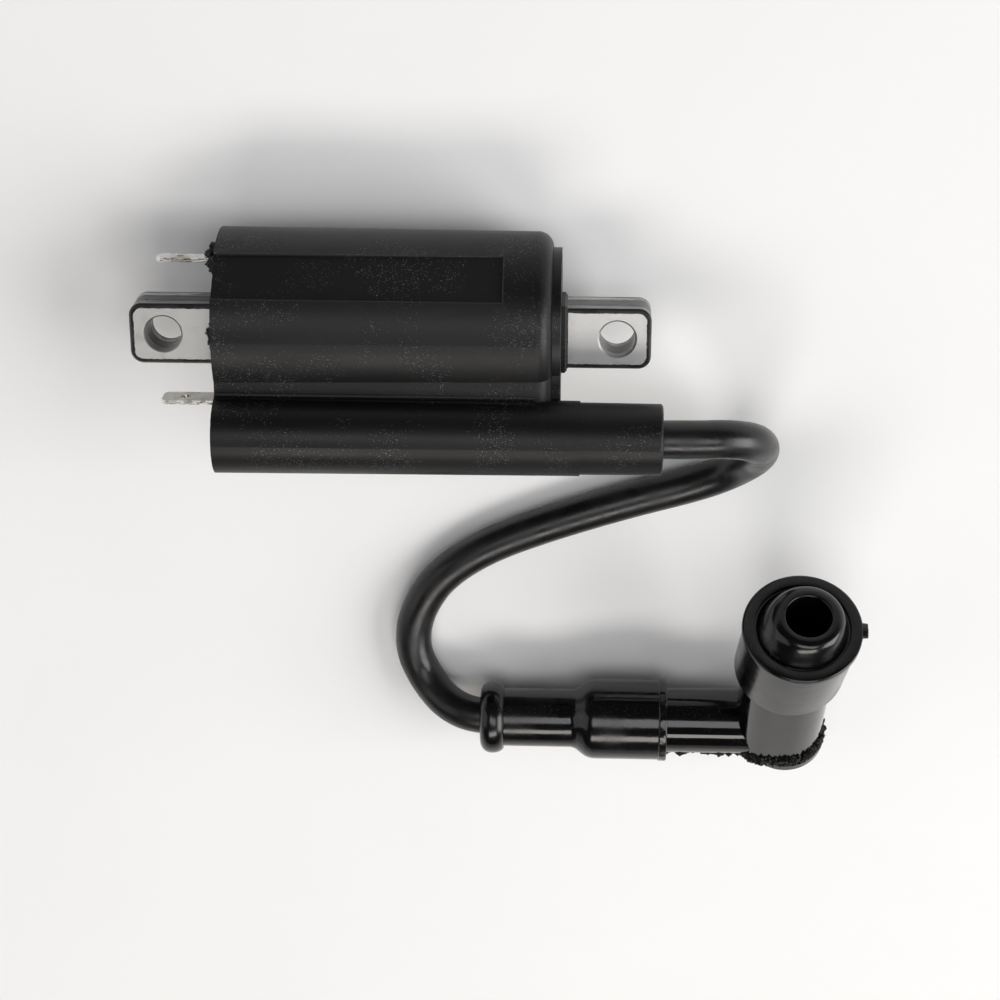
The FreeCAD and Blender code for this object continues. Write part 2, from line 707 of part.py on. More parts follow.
def make_plug_clip():
    """Spring wire ring in the sleeve's groove, open over a small gap."""
    groove_z = terminal_end - terminal_bore_len / 2
    ring = Part.makeTorus(clip_ring_r, clip_wire_r, V(0, 0, groove_z))
    gap = block(0, terminal_r + 1, -0.8, 0.8, groove_z - 1, groove_z + 1)
    return on_plug_axis(ring.cut(gap))


def make_skirt():
    """Leaning skirt of the plug boot, round the plug tube."""
    rim_start = rim_end - rim_t
    foot = Part.Wire(Part.makeCircle(skirt_r, V(-skirt_lean, 0, skirt_start)))
    top = Part.Wire(Part.makeCircle(rim_r - rim_step, V(0, 0, rim_start)))
    skirt = Part.makeLoft([foot, top], True, True)
    foot_edges = [e for e in skirt.Edges if abs(e.BoundBox.ZMax - skirt_start) < 1e-3]
    skirt = skirt.makeFillet(skirt_edge_r, foot_edges)
    return skirt.cut(Part.makeCylinder(plug_tube_r, rim_end, V(0, 0, 0)))


def make_plug_boot():
    """Rubber boot over the mouth of the plug tube, with a domed collar that seals on the plug."""
    top = rim_end + dome_h
    rim_start = rim_end - rim_t
    outline = [
        (plug_tube_r, skirt_start),
        (skirt_r - 2 * skirt_lean, skirt_start),
        (skirt_r - 2 * skirt_lean, rim_start),
        (rim_r - rim_step, rim_start),
        (rim_r, rim_start + rim_bevel),
        (rim_r, rim_end - rim_edge_r),
        round_arc(rim_r - rim_edge_r, rim_end - rim_edge_r, rim_edge_r, 0, 90),
        (groove_r, rim_end),
        (groove_r, rim_end - groove_depth),
        (dome_r, rim_end - groove_depth),
        (dome_r - dome_foot / 2, rim_end + dome_foot, dome_r - dome_foot / 8, rim_end + dome_foot * 0.4),
        (dome_top_r + dome_shoulder, top - dome_top_edge - dome_shoulder),
        (dome_top_r - dome_top_edge, top, dome_top_r + 0.1, top - dome_top_edge * 0.4),
        (mouth_r + mouth_edge_r, top),
        round_arc(mouth_r + mouth_edge_r, top - mouth_edge_r, mouth_edge_r, 90, 180),
        (mouth_r, plug_tube_end + mouth_funnel),
        (plug_tube_bore_r, plug_tube_end),
        (plug_tube_r, plug_tube_end),
    ]
    boot = turned(outline)
    nub = Part.makeCylinder(nub_r, nub_stand + 1, V(rim_r - 1, 0, rim_start + rim_t / 2), ALONG_X)
    trim = Part.makeCylinder(rim_r - 0.5, 6, V(0, 0, rim_start - 3))
    return on_plug_axis(boot.fuse([make_skirt(), nub.cut(trim)]).removeSplitter())


parts["lead_boot"] = make_lead_boot()
parts["cap_body"] = make_cap_body()
parts["lead_screw"] = make_lead_screw()
parts["resistor_spring"] = make_spring()
parts["cap_resistor"] = rod(resistor_r, resistor_x + resistor_cap_wall, resistor_end_x - resistor_cap_wall,
                            cap_axis_y, cap_axis_z)
parts["resistor_end_caps"] = Part.makeCompound([
    resistor_end_cap(resistor_x, resistor_x + resistor_cap_t, resistor_x),
    resistor_end_cap(resistor_end_x - resistor_cap_t, resistor_end_x, resistor_end_x)])
parts["plug_terminal"] = make_plug_terminal()
parts["plug_clip"] = make_plug_clip()
parts["plug_boot"] = make_plug_boot()

# ---------------------------------------------------------------- output
os.makedirs("parts", exist_ok=True)
for node, shape in parts.items():
    if not shape.isValid():
        raise ValueError(node + " is not a valid solid")
    shape.exportStep("parts/" + node + ".step")
    print("%-22s solids %d  volume %.1f mm3" % (node, len(shape.Solids), shape.Volume))

expected = math.pi * lead_r ** 2 * lead_path.Length
print("lead length %.1f mm, volume over section times length %.4f"
      % (lead_path.Length, parts["ht_lead"].Volume / expected))
print("lead bend radii:", ", ".join("%.1f" % r for r in lead_radii))
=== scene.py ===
"""Small engine ignition coil with its high-tension lead and elbow plug cap, in metres."""
import math

import bmesh
import bpy
from mathutils import Matrix, Vector, noise


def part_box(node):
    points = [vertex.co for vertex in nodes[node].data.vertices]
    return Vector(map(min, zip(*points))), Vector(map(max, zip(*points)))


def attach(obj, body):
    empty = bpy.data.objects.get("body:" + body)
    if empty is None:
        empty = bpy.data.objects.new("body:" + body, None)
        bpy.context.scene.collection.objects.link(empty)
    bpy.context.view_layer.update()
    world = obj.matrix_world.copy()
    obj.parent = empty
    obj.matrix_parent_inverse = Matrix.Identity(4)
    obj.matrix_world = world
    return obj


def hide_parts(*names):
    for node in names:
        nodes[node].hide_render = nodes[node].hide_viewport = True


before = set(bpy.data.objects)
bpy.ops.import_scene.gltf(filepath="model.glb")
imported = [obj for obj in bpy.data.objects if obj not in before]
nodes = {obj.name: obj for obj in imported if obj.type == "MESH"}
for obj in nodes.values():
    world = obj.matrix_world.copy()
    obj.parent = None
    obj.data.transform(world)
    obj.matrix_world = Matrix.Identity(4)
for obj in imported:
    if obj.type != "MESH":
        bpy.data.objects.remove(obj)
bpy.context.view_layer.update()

# ---------------------------------------------------------------- camera
# A long lens above the coil and a little to its right, looking down on the bare
# faces of the ears and tipped towards the barrel side.
camera_data = bpy.data.cameras.new("camera")
camera_data.sensor_width = 36.0
camera_data.lens = 84.557
camera = bpy.data.objects.new("camera", camera_data)
camera.location = (0.03536, 0.12567, 0.40389)
camera.rotation_mode = "ZYX"
camera.rotation_euler = (math.radians(-21.234), math.radians(2.037), math.radians(0.837))
bpy.context.scene.collection.objects.link(camera)
bpy.context.scene.camera = camera
bpy.context.scene.view_settings.view_transform = "Standard"

# ---------------------------------------------------------------- high-tension lead
# A 7 mm lead with a smooth extruded black jacket.  It is bonded into the coil's
# nozzle, loops down to the bench and back up into the rubber boot of the plug cap.
LEAD_DIAMETER = 0.007
LEAD_POINTS = [
    (0.04925, -0.01535, 0.0102),
    (0.0546, -0.01535, 0.0102),
    (0.0618, -0.0153, 0.0095),
    (0.0668, -0.0177, 0.0049),
    (0.0680, -0.0231, -0.0050),
    (0.0650, -0.0291, -0.0138),
    (0.0579, -0.0334, -0.0166),
    (0.0440, -0.0373, -0.0166),
    (0.0295, -0.0421, -0.0166),
    (0.0167, -0.0472, -0.0166),
    (0.0076, -0.0536, -0.0166),
    (0.0029, -0.0615, -0.0166),
    (0.0020, -0.0691, -0.0166),
    (0.0047, -0.0754, -0.0163),
    (0.0090, -0.0794, -0.0128),
    (0.0148, -0.0808, -0.0101),
    (0.0195, -0.0808, -0.0101),
]


def add_node(tree, kind, inputs=None, **settings):
    """Adds a shader node; an input may be a value or another node's output."""
    node = tree.nodes.new(kind)
    for key, value in settings.items():
        setattr(node, key, value)
    for key, value in (inputs or {}).items():
        if isinstance(value, bpy.types.NodeSocket):
            tree.links.new(value, node.inputs[key])
        else:
            node.inputs[key].default_value = value
    return node


def start_finish(name, **surface):
    """A material with its surface values set, its node tree and object coordinates."""
    finish = bpy.data.materials.new(name)
    finish.use_nodes = True
    tree = finish.node_tree
    shader = tree.nodes["Principled BSDF"]
    for key, value in surface.items():
        shader.inputs[key.replace("_", " ").title()].default_value = value
    place = add_node(tree, "ShaderNodeTexCoord").outputs["Object"]
    return finish, tree, shader, place


def cloud(tree, place, scale, detail=4.0, stretch=(1, 1, 1)):
    """Noise over the piece; scale is in patches per metre."""
    spread = add_node(tree, "ShaderNodeMapping", {"Vector": place, "Scale": stretch})
    node = add_node(tree, "ShaderNodeTexNoise",
                    {"Vector": spread.outputs["Vector"], "Scale": scale, "Detail": detail})
    return node.outputs["Fac"]


def between(tree, value, low, high, at_low, at_high):
    """Maps value from the range low..high to at_low..at_high, smoothly."""
    node = add_node(tree, "ShaderNodeMapRange",
                    {"Value": value, "From Min": low, "From Max": high,
                     "To Min": at_low, "To Max": at_high}, interpolation_type="SMOOTHSTEP")
    return node.outputs["Result"]


def blend_colour(tree, factor, first, second):
    """Colour mixed from first to second by factor."""
    node = add_node(tree, "ShaderNodeMix", data_type="RGBA")
    for socket, value in ((node.inputs[0], factor), (node.inputs[6], first), (node.inputs[7], second)):
        if isinstance(value, bpy.types.NodeSocket):
            tree.links.new(value, socket)
        else:
            socket.default_value = value
    return node.outputs[2]


def emboss(tree, shader, height, distance, strength=1.0):
    """Fine relief of that depth in metres, on top of any relief already there."""
    inputs = {"Height": height, "Distance": distance, "Strength": strength}
    if shader.inputs["Normal"].links:
        inputs["Normal"] = shader.inputs["Normal"].links[0].from_socket
    relief = add_node(tree, "ShaderNodeBump", inputs)
    tree.links.new(relief.outputs["Normal"], shader.inputs["Normal"])


def make_lead_jacket():
    jacket, tree, shader, place = start_finish("lead_jacket", roughness=0.34)
    scuffs = cloud(tree, place, 260.0)
    handling = cloud(tree, place, 55.0, 2.0)
    colour = blend_colour(tree, between(tree, handling, 0.35, 0.7, 0.0, 1.0),
                          (0.0035, 0.0035, 0.0038, 1), (0.0065, 0.006, 0.0065, 1))
    tree.links.new(colour, shader.inputs["Base Color"])
    tree.links.new(between(tree, scuffs, 0.3, 0.75, 0.27, 0.42), shader.inputs["Roughness"])
    emboss(tree, shader, cloud(tree, place, 1400.0, 2.0), 0.00002)
    return jacket


lead_jacket = make_lead_jacket()
lead_curve = bpy.data.curves.new("lead_cable", "CURVE")
lead_curve.dimensions = "3D"
lead_curve.bevel_depth = LEAD_DIAMETER / 2
lead_curve.bevel_resolution = 12
lead_curve.resolution_u = 16
lead_curve.use_fill_caps = True
lead_line = lead_curve.splines.new("NURBS")
lead_line.points.add(len(LEAD_POINTS) - 1)
for point, place in zip(lead_line.points, LEAD_POINTS):
    point.co = (*place, 1.0)
lead_line.order_u = 3
lead_line.use_endpoint_u = True
lead_line.use_smooth = True
lead_cable = bpy.data.objects.new("lead_cable", lead_curve)
bpy.context.scene.collection.objects.link(lead_cable)
lead_curve.materials.append(lead_jacket)
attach(lead_cable, "coil")
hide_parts("ht_lead")
for name in ("lead_coil_end", "lead_cap_end"):
    nodes[name].material_slots[0].material = lead_jacket

# ---------------------------------------------------------------- bench and lights
# A plain pale bench under the coil, a soft box overhead, one in front, a strong one
# at the right and a weak one at the left.
FLOOR_Z = -0.02025
BENCH_SIZE = 6.0
LIGHT_TARGET = Vector((0.03, -0.03, 0.0))


def make_bench_paint():
    paint, tree, shader, place = start_finish("bench_paint", roughness=0.6)
    colour = blend_colour(tree, cloud(tree, place, 30.0), (0.84, 0.84, 0.84, 1), (0.87, 0.87, 0.865, 1))
    tree.links.new(colour, shader.inputs["Base Color"])
    return paint


bench_mesh = bpy.data.meshes.new("bench")
bench_build = bmesh.new()
bmesh.ops.create_grid(bench_build, x_segments=1, y_segments=1, size=BENCH_SIZE / 2,
                      matrix=Matrix.Translation((0, 0, FLOOR_Z)))
bench_build.to_mesh(bench_mesh)
bench_build.free()
bench_mesh.materials.append(make_bench_paint())
bench = bpy.data.objects.new("bench", bench_mesh)
bpy.context.scene.collection.objects.link(bench)


def add_soft_light(name, towards, distance, size_x, size_y, power, colour):
    """Area light at that distance in a direction from the coil, facing it."""
    data = bpy.data.lights.new(name, "AREA")
    data.shape = "RECTANGLE"
    data.size = size_x
    data.size_y = size_y
    data.energy = power
    data.color = colour
    light = bpy.data.objects.new(name, data)
    aim = Vector(towards).normalized()
    light.location = LIGHT_TARGET + aim * distance
    light.rotation_euler = aim.to_track_quat("Z", "Y").to_euler()
    bpy.context.scene.collection.objects.link(light)


add_soft_light("overhead_box", (0.06, 0.17, 0.98), 1.6, 1.1, 0.62, 6.8, (0.97, 0.98, 1.0))
add_soft_light("front_box", (0.06, -0.57, 0.82), 1.5, 1.1, 0.40, 9.0, (1.0, 0.95, 0.90))
add_soft_light("right_box", (1.0, -0.1, 0.6), 1.6, 1.2, 1.2, 25.0, (1.0, 0.99, 0.98))
add_soft_light("left_box", (-1.0, 0.1, 0.6), 1.7, 1.2, 1.2, 3.5, (1.0, 0.99, 0.98))

world = bpy.data.worlds.new("studio")
bpy.context.scene.world = world
world.use_nodes = True
sky = world.node_tree
sky_place = add_node(sky, "ShaderNodeTexCoord").outputs["Generated"]
sky_height = add_node(sky, "ShaderNodeSeparateXYZ", {"Vector": sky_place}).outputs["Z"]
sky_colour = blend_colour(sky, between(sky, sky_height, 0.15, 0.30, 0.0, 1.0),
                          (0.55, 0.55, 0.55, 1), (0.05, 0.05, 0.052, 1))
sky.links.new(sky_colour, sky.nodes["Background"].inputs["Color"])

# ---------------------------------------------------------------- laminated core
# Three stamped steel plates, varnished black and stacked.  The front face of both
# ears is ground bare for the earth contact, which leaves a black line at the edge.
CORE_HALF_X = 0.0471
CORE_HALF_Y = 0.0056
CORE_CORNER = 0.0023
PLATE_THICK = 0.0026
EDGE_LINE = 0.00085


def wave_math(tree, operation, first, second=0.0):
    """One step of arithmetic on two values or outputs."""
    node = add_node(tree, "ShaderNodeMath", {0: first, 1: second}, operation=operation)
    return node.outputs[0]


def outline_distance(tree, place):
    """Distance inside (negative) or outside the core's rounded outline."""
    split = add_node(tree, "ShaderNodeSeparateXYZ", {"Vector": place})
    over = []
    for axis, half in (("X", CORE_HALF_X), ("Y", CORE_HALF_Y)):
        reach = wave_math(tree, "ABSOLUTE", split.outputs[axis])
        reach = wave_math(tree, "SUBTRACT", reach, half - CORE_CORNER)
        over.append(wave_math(tree, "MAXIMUM", reach, 0.0))
    squares = [wave_math(tree, "POWER", reach, 2.0) for reach in over]
    root = wave_math(tree, "SQRT", wave_math(tree, "ADD", squares[0], squares[1]))
    return wave_math(tree, "SUBTRACT", root, CORE_CORNER), split.outputs["Z"]


def make_core_steel(name, face_z, side_bare):
    """Ground steel on the face at face_z, varnish at its edge, sheared steel on the sides."""
    steel, tree, shader, place = start_finish(name, metallic=1.0, roughness=0.3)
    facing = add_node(tree, "ShaderNodeSeparateXYZ",
                      {"Vector": add_node(tree, "ShaderNodeNewGeometry").outputs["Normal"]}).outputs["Z"]
    front = between(tree, facing, 0.45, 0.6, 0.0, 1.0)
    distance, height = outline_distance(tree, place)
    wander = between(tree, cloud(tree, place, 900.0, 3.0), 0.0, 1.0, -0.00012, 0.00012)
    edge_line = between(tree, wave_math(tree, "ADD", distance, wander),
                        -EDGE_LINE - 0.00004, -EDGE_LINE + 0.00004, 0.0, 1.0)
    at_face = between(tree, height, face_z - 0.0006, face_z - 0.0005, 0.0, 1.0)
    at_ground = between(tree, height, face_z + 0.00001, face_z + 0.00003, 1.0, 0.0)
    bare_face = wave_math(tree, "MULTIPLY", at_face, wave_math(tree, "SUBTRACT", 1.0, edge_line))
    bare_face = wave_math(tree, "MULTIPLY", bare_face, at_ground)
    level = add_node(tree, "ShaderNodeMath", {0: wave_math(tree, "ABSOLUTE", facing), 1: 0.5},
                     operation="LESS_THAN").outputs[0]
    sheared = wave_math(tree, "MULTIPLY", level,
                        between(tree, cloud(tree, place, 500.0, 5.0, (0.25, 1, 2.5)), 0.40, 0.56,
                                0.2 * side_bare, side_bare))
    seam = wave_math(tree, "PINGPONG", wave_math(tree, "SUBTRACT", height, face_z), PLATE_THICK / 2)
    sheared = wave_math(tree, "MULTIPLY", sheared, between(tree, seam, 0.00025, 0.0007, 0.0, 1.0))
    bare = wave_math(tree, "MAXIMUM", wave_math(tree, "MULTIPLY", bare_face, front), sheared)
    grain = cloud(tree, place, 420.0, 6.0, (1, 26, 1))
    stain = cloud(tree, place, 210.0, 3.0)
    steel_colour = blend_colour(tree, grain, (0.42, 0.42, 0.415, 1), (0.58, 0.58, 0.575, 1))
    steel_colour = blend_colour(tree, between(tree, stain, 0.56, 0.72, 0.0, 0.5),
                                steel_colour, (0.33, 0.32, 0.29, 1))
    colour = blend_colour(tree, bare, (0.012, 0.012, 0.013, 1), steel_colour)
    tree.links.new(colour, shader.inputs["Base Color"])
    tree.links.new(bare, shader.inputs["Metallic"])
    polish = between(tree, grain, 0.3, 0.7, 0.40, 0.52)
    varnish_gloss = between(tree, stain, 0.3, 0.7, 0.22, 0.35)
    rough = add_node(tree, "ShaderNodeMix", {0: bare, 2: varnish_gloss, 3: polish})
    tree.links.new(rough.outputs[0], shader.inputs["Roughness"])
    emboss(tree, shader, grain, 0.000012)
    return steel


ground_steel = make_core_steel("ground_core_steel", 0.0, 0.6)
middle_steel = make_core_steel("middle_core_steel", -PLATE_THICK, 0.1)
rear_steel = make_core_steel("rear_core_steel", -2 * PLATE_THICK, 1.0)
nodes["core_plate_front"].material_slots[0].material = ground_steel
nodes["core_plate_middle"].material_slots[0].material = middle_steel
nodes["core_plate_rear"].material_slots[0].material = rear_steel

# ---------------------------------------------------------------- case
# One black moulding in glass-filled nylon: a round body with a flat for a label,
# and a barrel along its front with the nozzle that holds the lead.
CASE_AXIS_Y = 0.0022
CASE_AXIS_Z = -0.0039
CASE_RADIUS = 0.0163
RECESS_ANGLE = math.radians(44)
RECESS_HALF_ANGLE = math.radians(16)
RECESS_END_X = 0.0206
DUST_PER_METRE = 5200.0


def add_dust(tree, shader, place, colour, amount):
    """Base colour with sparse pale specks of moulding grit, thicker in some patches."""
    cell = add_node(tree, "ShaderNodeTexVoronoi", {"Vector": place, "Scale": DUST_PER_METRE})
    size = add_node(tree, "ShaderNodeSeparateColor", {"Color": cell.outputs["Color"]}).outputs[0]
    patch = between(tree, cloud(tree, place, 90.0, 3.0), 0.30, 0.66, 0.6, 1.0)
    limit = between(tree, wave_math(tree, "MULTIPLY", size, patch), 0.55, 0.95, 0.0, amount)
    beyond = wave_math(tree, "SUBTRACT", cell.outputs["Distance"], limit)
    speck = between(tree, beyond, -0.05, 0.05, 1.0, 0.0)
    dusty = blend_colour(tree, wave_math(tree, "MULTIPLY", speck, 0.5), colour, (0.36, 0.36, 0.37, 1))
    tree.links.new(dusty, shader.inputs["Base Color"])


def painted_recess_rim_highlight(tree, place):
    """Thin lighter line round the label recess: a painted highlight standing in for the light caught by
    the recess's rounded edge.
    """
    split = add_node(tree, "ShaderNodeSeparateXYZ", {"Vector": place})
    across = wave_math(tree, "SUBTRACT", split.outputs["Y"], CASE_AXIS_Y)
    up = wave_math(tree, "SUBTRACT", split.outputs["Z"], CASE_AXIS_Z)
    turn = wave_math(tree, "SUBTRACT", wave_math(tree, "ARCTAN2", across, up), RECESS_ANGLE)
    turn = wave_math(tree, "SUBTRACT", wave_math(tree, "ABSOLUTE", turn), RECESS_HALF_ANGLE)
    beside = wave_math(tree, "MULTIPLY", turn, CASE_RADIUS)
    beyond = wave_math(tree, "SUBTRACT", split.outputs["X"], RECESS_END_X)
    outside = wave_math(tree, "MAXIMUM", beside, beyond)
    inner = between(tree, outside, -0.00004, 0.00004, 0.0, 1.0)
    return wave_math(tree, "MULTIPLY", inner, between(tree, outside, 0.00026, 0.00036, 1.0, 0.0))


def make_case_nylon():
    nylon, tree, shader, place = start_finish("case_nylon", roughness=0.5)
    shader.inputs["Specular IOR Level"].default_value = 0.3
    flow = cloud(tree, place, 60.0, 5.0, (0.4, 1, 1))
    colour = blend_colour(tree, between(tree, flow, 0.35, 0.7, 0.0, 1.0),
                          (0.0026, 0.0026, 0.0030, 1), (0.0044, 0.0042, 0.0046, 1))
    # The lighter line round the label recess is a painted highlight on its edge.
    colour = blend_colour(tree, painted_recess_rim_highlight(tree, place), colour, (0.017, 0.017, 0.018, 1))
    add_dust(tree, shader, place, colour, 0.32)
    grain = cloud(tree, place, 2600.0, 2.0)
    tree.links.new(between(tree, flow, 0.3, 0.7, 0.38, 0.48), shader.inputs["Roughness"])
    emboss(tree, shader, grain, 0.00001)
    emboss(tree, shader, cloud(tree, place, 120.0, 2.0), 0.00004)
    return nylon


case_nylon = make_case_nylon()
nodes["case"].material_slots[0].material = case_nylon
nodes["core_collar"].material_slots[0].material = case_nylon

# ---------------------------------------------------------------- hidden bobbins and windings
# Two moulded nylon bobbins on the core: thick enamelled wire inside, an amber film
# over it, and very fine enamelled wire in six sections outside.
PRIMARY_WIRE = 0.00055
SECONDARY_WIRE = 0.00012


def make_bobbin_nylon():
    nylon, tree, shader, place = start_finish("bobbin_nylon", roughness=0.45, subsurface_weight=0.15)
    shader.inputs["Subsurface Radius"].default_value = (0.002, 0.0016, 0.001)
    colour = blend_colour(tree, cloud(tree, place, 110.0), (0.60, 0.56, 0.45, 1), (0.74, 0.71, 0.60, 1))
    tree.links.new(colour, shader.inputs["Base Color"])
    emboss(tree, shader, cloud(tree, place, 1600.0, 3.0), 0.00001)
    return nylon


def make_magnet_wire(name, wire_diameter):
    """Enamelled copper, one turn beside the next along the core."""
    wire, tree, shader, place = start_finish(name, metallic=1.0, roughness=0.28)
    along = add_node(tree, "ShaderNodeSeparateXYZ", {"Vector": place}).outputs["X"]
    jitter = between(tree, cloud(tree, place, 160.0, 2.0), 0.0, 1.0, 0.0, wire_diameter)
    turn = wave_math(tree, "PINGPONG", wave_math(tree, "ADD", along, jitter), wire_diameter / 2)
    crown_and_painted_shade = between(tree, turn, 0.0, wire_diameter / 2, 0.0, 1.0)
    # Each turn is painted lighter on its crown and darker where it meets the next turn: painted highlight
    # and painted shade for the wire's roundness; the same profile also raises the bump.
    colour = blend_colour(tree, crown_and_painted_shade, (0.20, 0.055, 0.018, 1), (0.80, 0.33, 0.14, 1))
    colour = blend_colour(tree, cloud(tree, place, 300.0), colour, (0.62, 0.22, 0.08, 1))
    tree.links.new(colour, shader.inputs["Base Color"])
    emboss(tree, shader, crown_and_painted_shade, wire_diameter / 4)
    return wire


def make_insulating_film():
    film, tree, shader, place = start_finish("insulating_film", roughness=0.25, coat_weight=0.3)
    wrap = cloud(tree, place, 90.0, 4.0, (6, 1, 1))
    colour = blend_colour(tree, wrap, (0.62, 0.36, 0.08, 1), (0.80, 0.55, 0.20, 1))
    tree.links.new(colour, shader.inputs["Base Color"])
    emboss(tree, shader, wrap, 0.00003)
    return film


bobbin_nylon = make_bobbin_nylon()
nodes["primary_bobbin"].material_slots[0].material = bobbin_nylon
nodes["secondary_bobbin"].material_slots[0].material = bobbin_nylon
nodes["primary_winding"].material_slots[0].material = make_magnet_wire("primary_wire", PRIMARY_WIRE)
nodes["secondary_winding"].material_slots[0].material = make_magnet_wire("secondary_wire", SECONDARY_WIRE)
nodes["layer_insulation"].material_slots[0].material = make_insulating_film()

# ---------------------------------------------------------------- potting resin
# Black epoxy poured in from the open end.  It cured with a glossy, slightly sunken
# and rippled face.


def make_potting_epoxy(name, roughness, lumps):
    """Cured black epoxy; lumps is the height of its ripples in metres."""
    epoxy, tree, shader, place = start_finish(name, roughness=roughness)
    ripple = cloud(tree, place, 140.0, 3.0)
    colour = blend_colour(tree, ripple, (0.0025, 0.0025, 0.0028, 1), (0.006, 0.0055, 0.0055, 1))
    add_dust(tree, shader, place, colour, 0.3)
    rough = between(tree, ripple, 0.35, 0.7, roughness, roughness + 0.2)
    tree.links.new(rough, shader.inputs["Roughness"])
    emboss(tree, shader, ripple, lumps)
    emboss(tree, shader, cloud(tree, place, 1100.0, 5.0), lumps / 6)
    return epoxy


nodes["potting_resin"].material_slots[0].material = make_potting_epoxy("potting_epoxy", 0.14, 0.0003)

# ---------------------------------------------------------------- terminals
# Two flat brass blades, tinned, that stand out of the resin; the upper one comes
# through a rubber grommet that is coated with spilt resin.


def make_tinned_brass():
    tin, tree, shader, place = start_finish("tinned_brass", metallic=1.0, roughness=0.25)
    rub = cloud(tree, place, 700.0, 5.0, (1, 6, 6))
    tarnish = cloud(tree, place, 260.0, 3.0)
    colour = blend_colour(tree, between(tree, tarnish, 0.5, 0.75, 0.0, 1.0),
                          (0.84, 0.83, 0.80, 1), (0.58, 0.53, 0.44, 1))
    tree.links.new(colour, shader.inputs["Base Color"])
    tree.links.new(between(tree, rub, 0.3, 0.7, 0.18, 0.36), shader.inputs["Roughness"])
    emboss(tree, shader, rub, 0.00001)
    return tin


tinned_brass = make_tinned_brass()
nodes["terminal_tab_primary"].material_slots[0].material = tinned_brass
nodes["terminal_tab_earth"].material_slots[0].material = tinned_brass

# ---------------------------------------------------------------- spilt resin
# Crumbly lumps of black epoxy that ran over when the case was filled: one round the
# upper blade and its grommet, one on the left ear beside the case.
SMOOTH_ANGLE = math.radians(50)
CRUMB_SIZE = 0.0009
TAB_SPILL_HALF = (0.0018, 0.0026, 0.0026)
TAB_SPILL_DEPTH = 0.0009
EAR_SPILL_CENTRE = (-0.0314, 0.0002, 0.0001)
EAR_SPILL_HALF = (0.0015, 0.0026, 0.0013)
EAR_SPILL_DEPTH = 0.0008
spilt_epoxy = make_potting_epoxy("spilt_epoxy", 0.35, 0.0006)


def show_piece(name, build, finish):
    """Turns a finished bmesh into a smooth shaded object with its material."""
    bmesh.ops.recalc_face_normals(build, faces=build.faces)
    mesh = bpy.data.meshes.new(name)
    build.to_mesh(mesh)
    build.free()
    mesh.shade_smooth()
    mesh.set_sharp_from_angle(angle=SMOOTH_ANGLE)
    mesh.materials.append(finish)
    piece = bpy.data.objects.new(name, mesh)
    bpy.context.scene.collection.objects.link(piece)
    return piece


def roughen(build, size, depth, shift):
    """Moves every vertex along its normal by noise with patches of that size."""
    build.normal_update()
    moves = []
    for vert in build.verts:
        spot = vert.co / size + Vector((shift, shift, shift))
        height = noise.fractal(spot, 0.8, 2.0, 4)
        moves.append((vert, vert.normal * height * depth))
    for vert, move in moves:
        vert.co += move


def make_resin_lump(name, centre, half_size, depth, shift):
    """Crumbly blob with that half size; shift picks its own patch of noise."""
    build = bmesh.new()
    bmesh.ops.create_icosphere(build, subdivisions=6, radius=1.0)
    bmesh.ops.scale(build, vec=half_size, verts=build.verts)
    bmesh.ops.translate(build, vec=centre, verts=build.verts)
    roughen(build, CRUMB_SIZE, depth, shift)
    lump = show_piece(name, build, spilt_epoxy)
    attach(lump, "coil")
    return lump


grommet_low, grommet_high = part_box("terminal_grommet")
grommet_middle = (grommet_low + grommet_high) / 2
tab_spill_centre = (grommet_low.x + TAB_SPILL_HALF[0], grommet_middle.y, grommet_middle.z)
tab_resin_spill = make_resin_lump("tab_resin_spill", tab_spill_centre, TAB_SPILL_HALF,
                                  TAB_SPILL_DEPTH, 3.0)
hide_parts("terminal_grommet")
make_resin_lump("ear_resin_spill", EAR_SPILL_CENTRE, EAR_SPILL_HALF, EAR_SPILL_DEPTH, 9.0)

# ---------------------------------------------------------------- brass and steel inside
# Turned brass contact with its spike and strap, and in the cap the screw, the
# spring, the resistor's cups, the plug sleeve and its wire clip.


def make_turned_brass():
    brass, tree, shader, place = start_finish("turned_brass", metallic=1.0, roughness=0.24)
    tooling = cloud(tree, place, 380.0, 5.0, (14, 1, 1))
    colour = blend_colour(tree, tooling, (0.70, 0.48, 0.19, 1), (0.90, 0.70, 0.34, 1))
    tree.links.new(colour, shader.inputs["Base Color"])
    tree.links.new(between(tree, tooling, 0.3, 0.7, 0.16, 0.34), shader.inputs["Roughness"])
    emboss(tree, shader, tooling, 0.00001)
    return brass


def make_zinc_plate():
    zinc, tree, shader, place = start_finish("zinc_plate", metallic=1.0, roughness=0.3)
    tint = cloud(tree, place, 320.0, 4.0)
    colour = blend_colour(tree, tint, (0.52, 0.54, 0.57, 1), (0.74, 0.72, 0.64, 1))
    tree.links.new(colour, shader.inputs["Base Color"])
    tree.links.new(between(tree, tint, 0.3, 0.7, 0.2, 0.4), shader.inputs["Roughness"])
    emboss(tree, shader, cloud(tree, place, 2400.0, 3.0), 0.000008)
    return zinc


def make_resistor_glaze():
    glaze, tree, shader, place = start_finish("resistor_glaze", roughness=0.2, coat_weight=0.5)
    colour = blend_colour(tree, cloud(tree, place, 500.0), (0.55, 0.42, 0.26, 1), (0.66, 0.54, 0.37, 1))
    tree.links.new(colour, shader.inputs["Base Color"])
    emboss(tree, shader, cloud(tree, place, 1500.0), 0.00002)
    return glaze


turned_brass = make_turned_brass()
zinc_plate = make_zinc_plate()
for name in ("ht_contact", "ht_strap", "plug_terminal"):
    nodes[name].material_slots[0].material = turned_brass
for name in ("lead_screw", "resistor_spring", "resistor_end_caps", "plug_clip"):
    nodes[name].material_slots[0].material = zinc_plate
nodes["cap_resistor"].material_slots[0].material = make_resistor_glaze()

